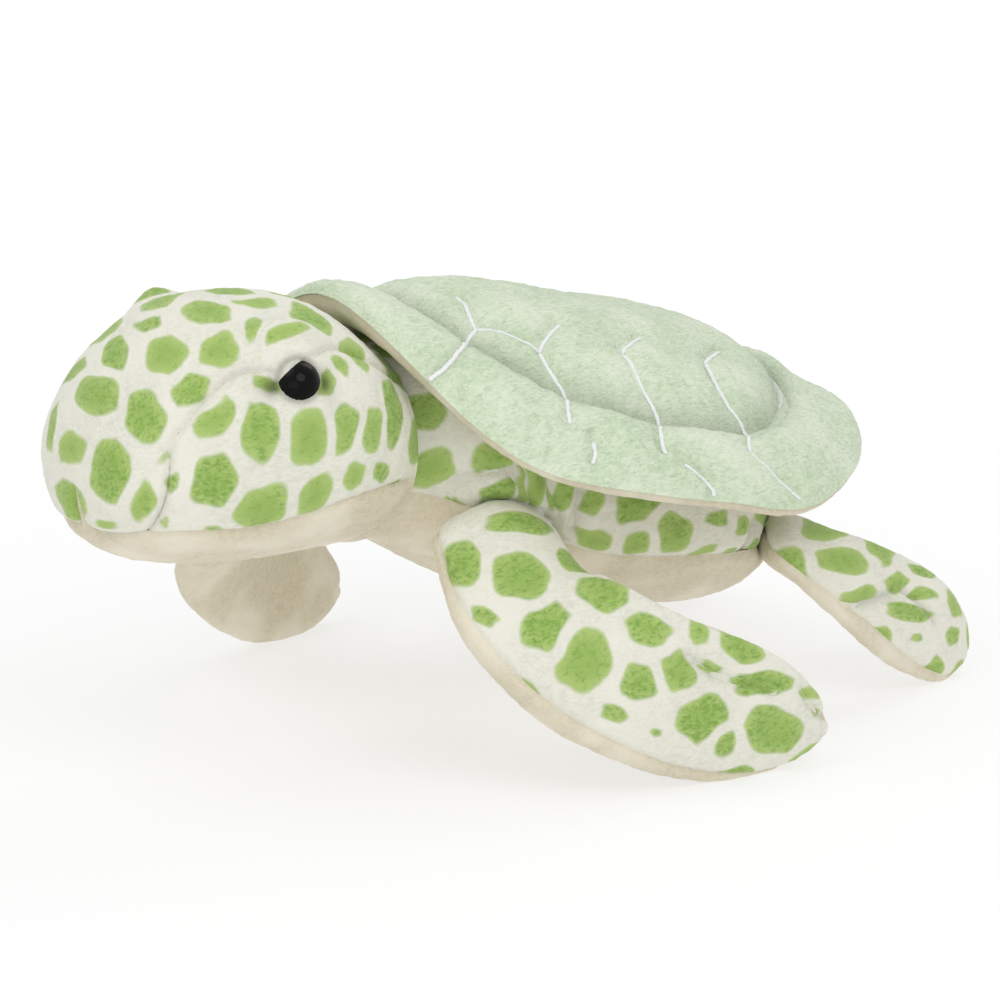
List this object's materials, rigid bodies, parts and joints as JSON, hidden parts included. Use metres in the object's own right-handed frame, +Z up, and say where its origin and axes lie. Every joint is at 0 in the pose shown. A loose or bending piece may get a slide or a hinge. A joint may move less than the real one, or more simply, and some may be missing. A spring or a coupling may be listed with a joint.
{
  "type": "plush toy",
  "caption": "Stuffed plush sea turtle with a big head, glossy eyes, a quilted saddle-shaped shell with a puffy rim, and sewn-on flippers that it stands on.",
  "frame": {"origin": "On the ground, below the middle of the turtle's bounding box. The plane about which the head, body and shell are symmetric lies 5.8 mm from it towards +X, because the right front flipper lies further out than the left one, as in the picture.", "axes": "+X points to the turtle's left, +Y from its head to its tail, and +Z up from the ground that it stands on, so it faces -Y."},
  "size_m": [0.1914, 0.2574, 0.1221],
  "materials": {
    "spotted_plush": "matte",
    "beige_plush": "matte",
    "shell_plush": "matte",
    "stuffing": "matte",
    "pellets": "matte",
    "eye_plastic": "gloss",
    "washer_plastic": "matte"
  },
  "bodies": {
    "body": {"pellet_pouch": "pellets", "body_stuffing": "stuffing", "flank_panel_left": "spotted_plush", "flank_panel_right": "spotted_plush", "belly_panel": "beige_plush", "shell_cover": "shell_plush", "shell_underside_panel": "beige_plush", "shell_stuffing": "stuffing"},
    "head": {"head_stuffing": "stuffing", "head_crown_panel": "spotted_plush", "cheek_panel_left": "spotted_plush", "cheek_panel_right": "spotted_plush", "chin_panel": "beige_plush", "eye_left": "eye_plastic", "eye_washer_left": "washer_plastic", "eye_right": "eye_plastic", "eye_washer_right": "washer_plastic"},
    "front_flipper_left": {"front_flipper_left_top_panel": "spotted_plush", "front_flipper_left_underside_panel": "beige_plush", "front_flipper_left_stuffing": "stuffing"},
    "front_flipper_right": {"front_flipper_right_top_panel": "spotted_plush", "front_flipper_right_underside_panel": "beige_plush", "front_flipper_right_stuffing": "stuffing"},
    "rear_flipper_left": {"rear_flipper_left_top_panel": "spotted_plush", "rear_flipper_left_underside_panel": "beige_plush", "rear_flipper_left_stuffing": "stuffing"},
    "rear_flipper_right": {"rear_flipper_right_top_panel": "spotted_plush", "rear_flipper_right_underside_panel": "beige_plush", "rear_flipper_right_stuffing": "stuffing"}
  },
  "joints": [
    {"name": "head_nod", "type": "hinge", "parent": "body", "child": "head", "pos_m": [0.00579, -0.04648, 0.079], "axis": [-1, 0, 0], "range_deg": [-15, 2], "stiffness_Nm_per_rad": 1.5},
    {"name": "front_flipper_left_flap", "type": "hinge", "parent": "body", "child": "front_flipper_left", "pos_m": [0.04464, -0.03248, 0.0581], "axis": [0, -0.9889, 0.1483], "range_deg": [-10, 25], "stiffness_Nm_per_rad": 1.5},
    {"name": "front_flipper_right_flap", "type": "hinge", "parent": "body", "child": "front_flipper_right", "pos_m": [-0.03306, -0.03248, 0.0581], "axis": [0, 0.9889, -0.1483], "range_deg": [-10, 25], "stiffness_Nm_per_rad": 1.5},
    {"name": "rear_flipper_left_flap", "type": "hinge", "parent": "body", "child": "rear_flipper_left", "pos_m": [0.04293, 0.06952, 0.04277], "axis": [0.8081, -0.5051, -0.303], "range_deg": [-8, 20], "stiffness_Nm_per_rad": 1.5},
    {"name": "rear_flipper_right_flap", "type": "hinge", "parent": "body", "child": "rear_flipper_right", "pos_m": [-0.03136, 0.06952, 0.04277], "axis": [0.8081, 0.5051, 0.303], "range_deg": [-8, 20], "stiffness_Nm_per_rad": 1.5}
  ]
}
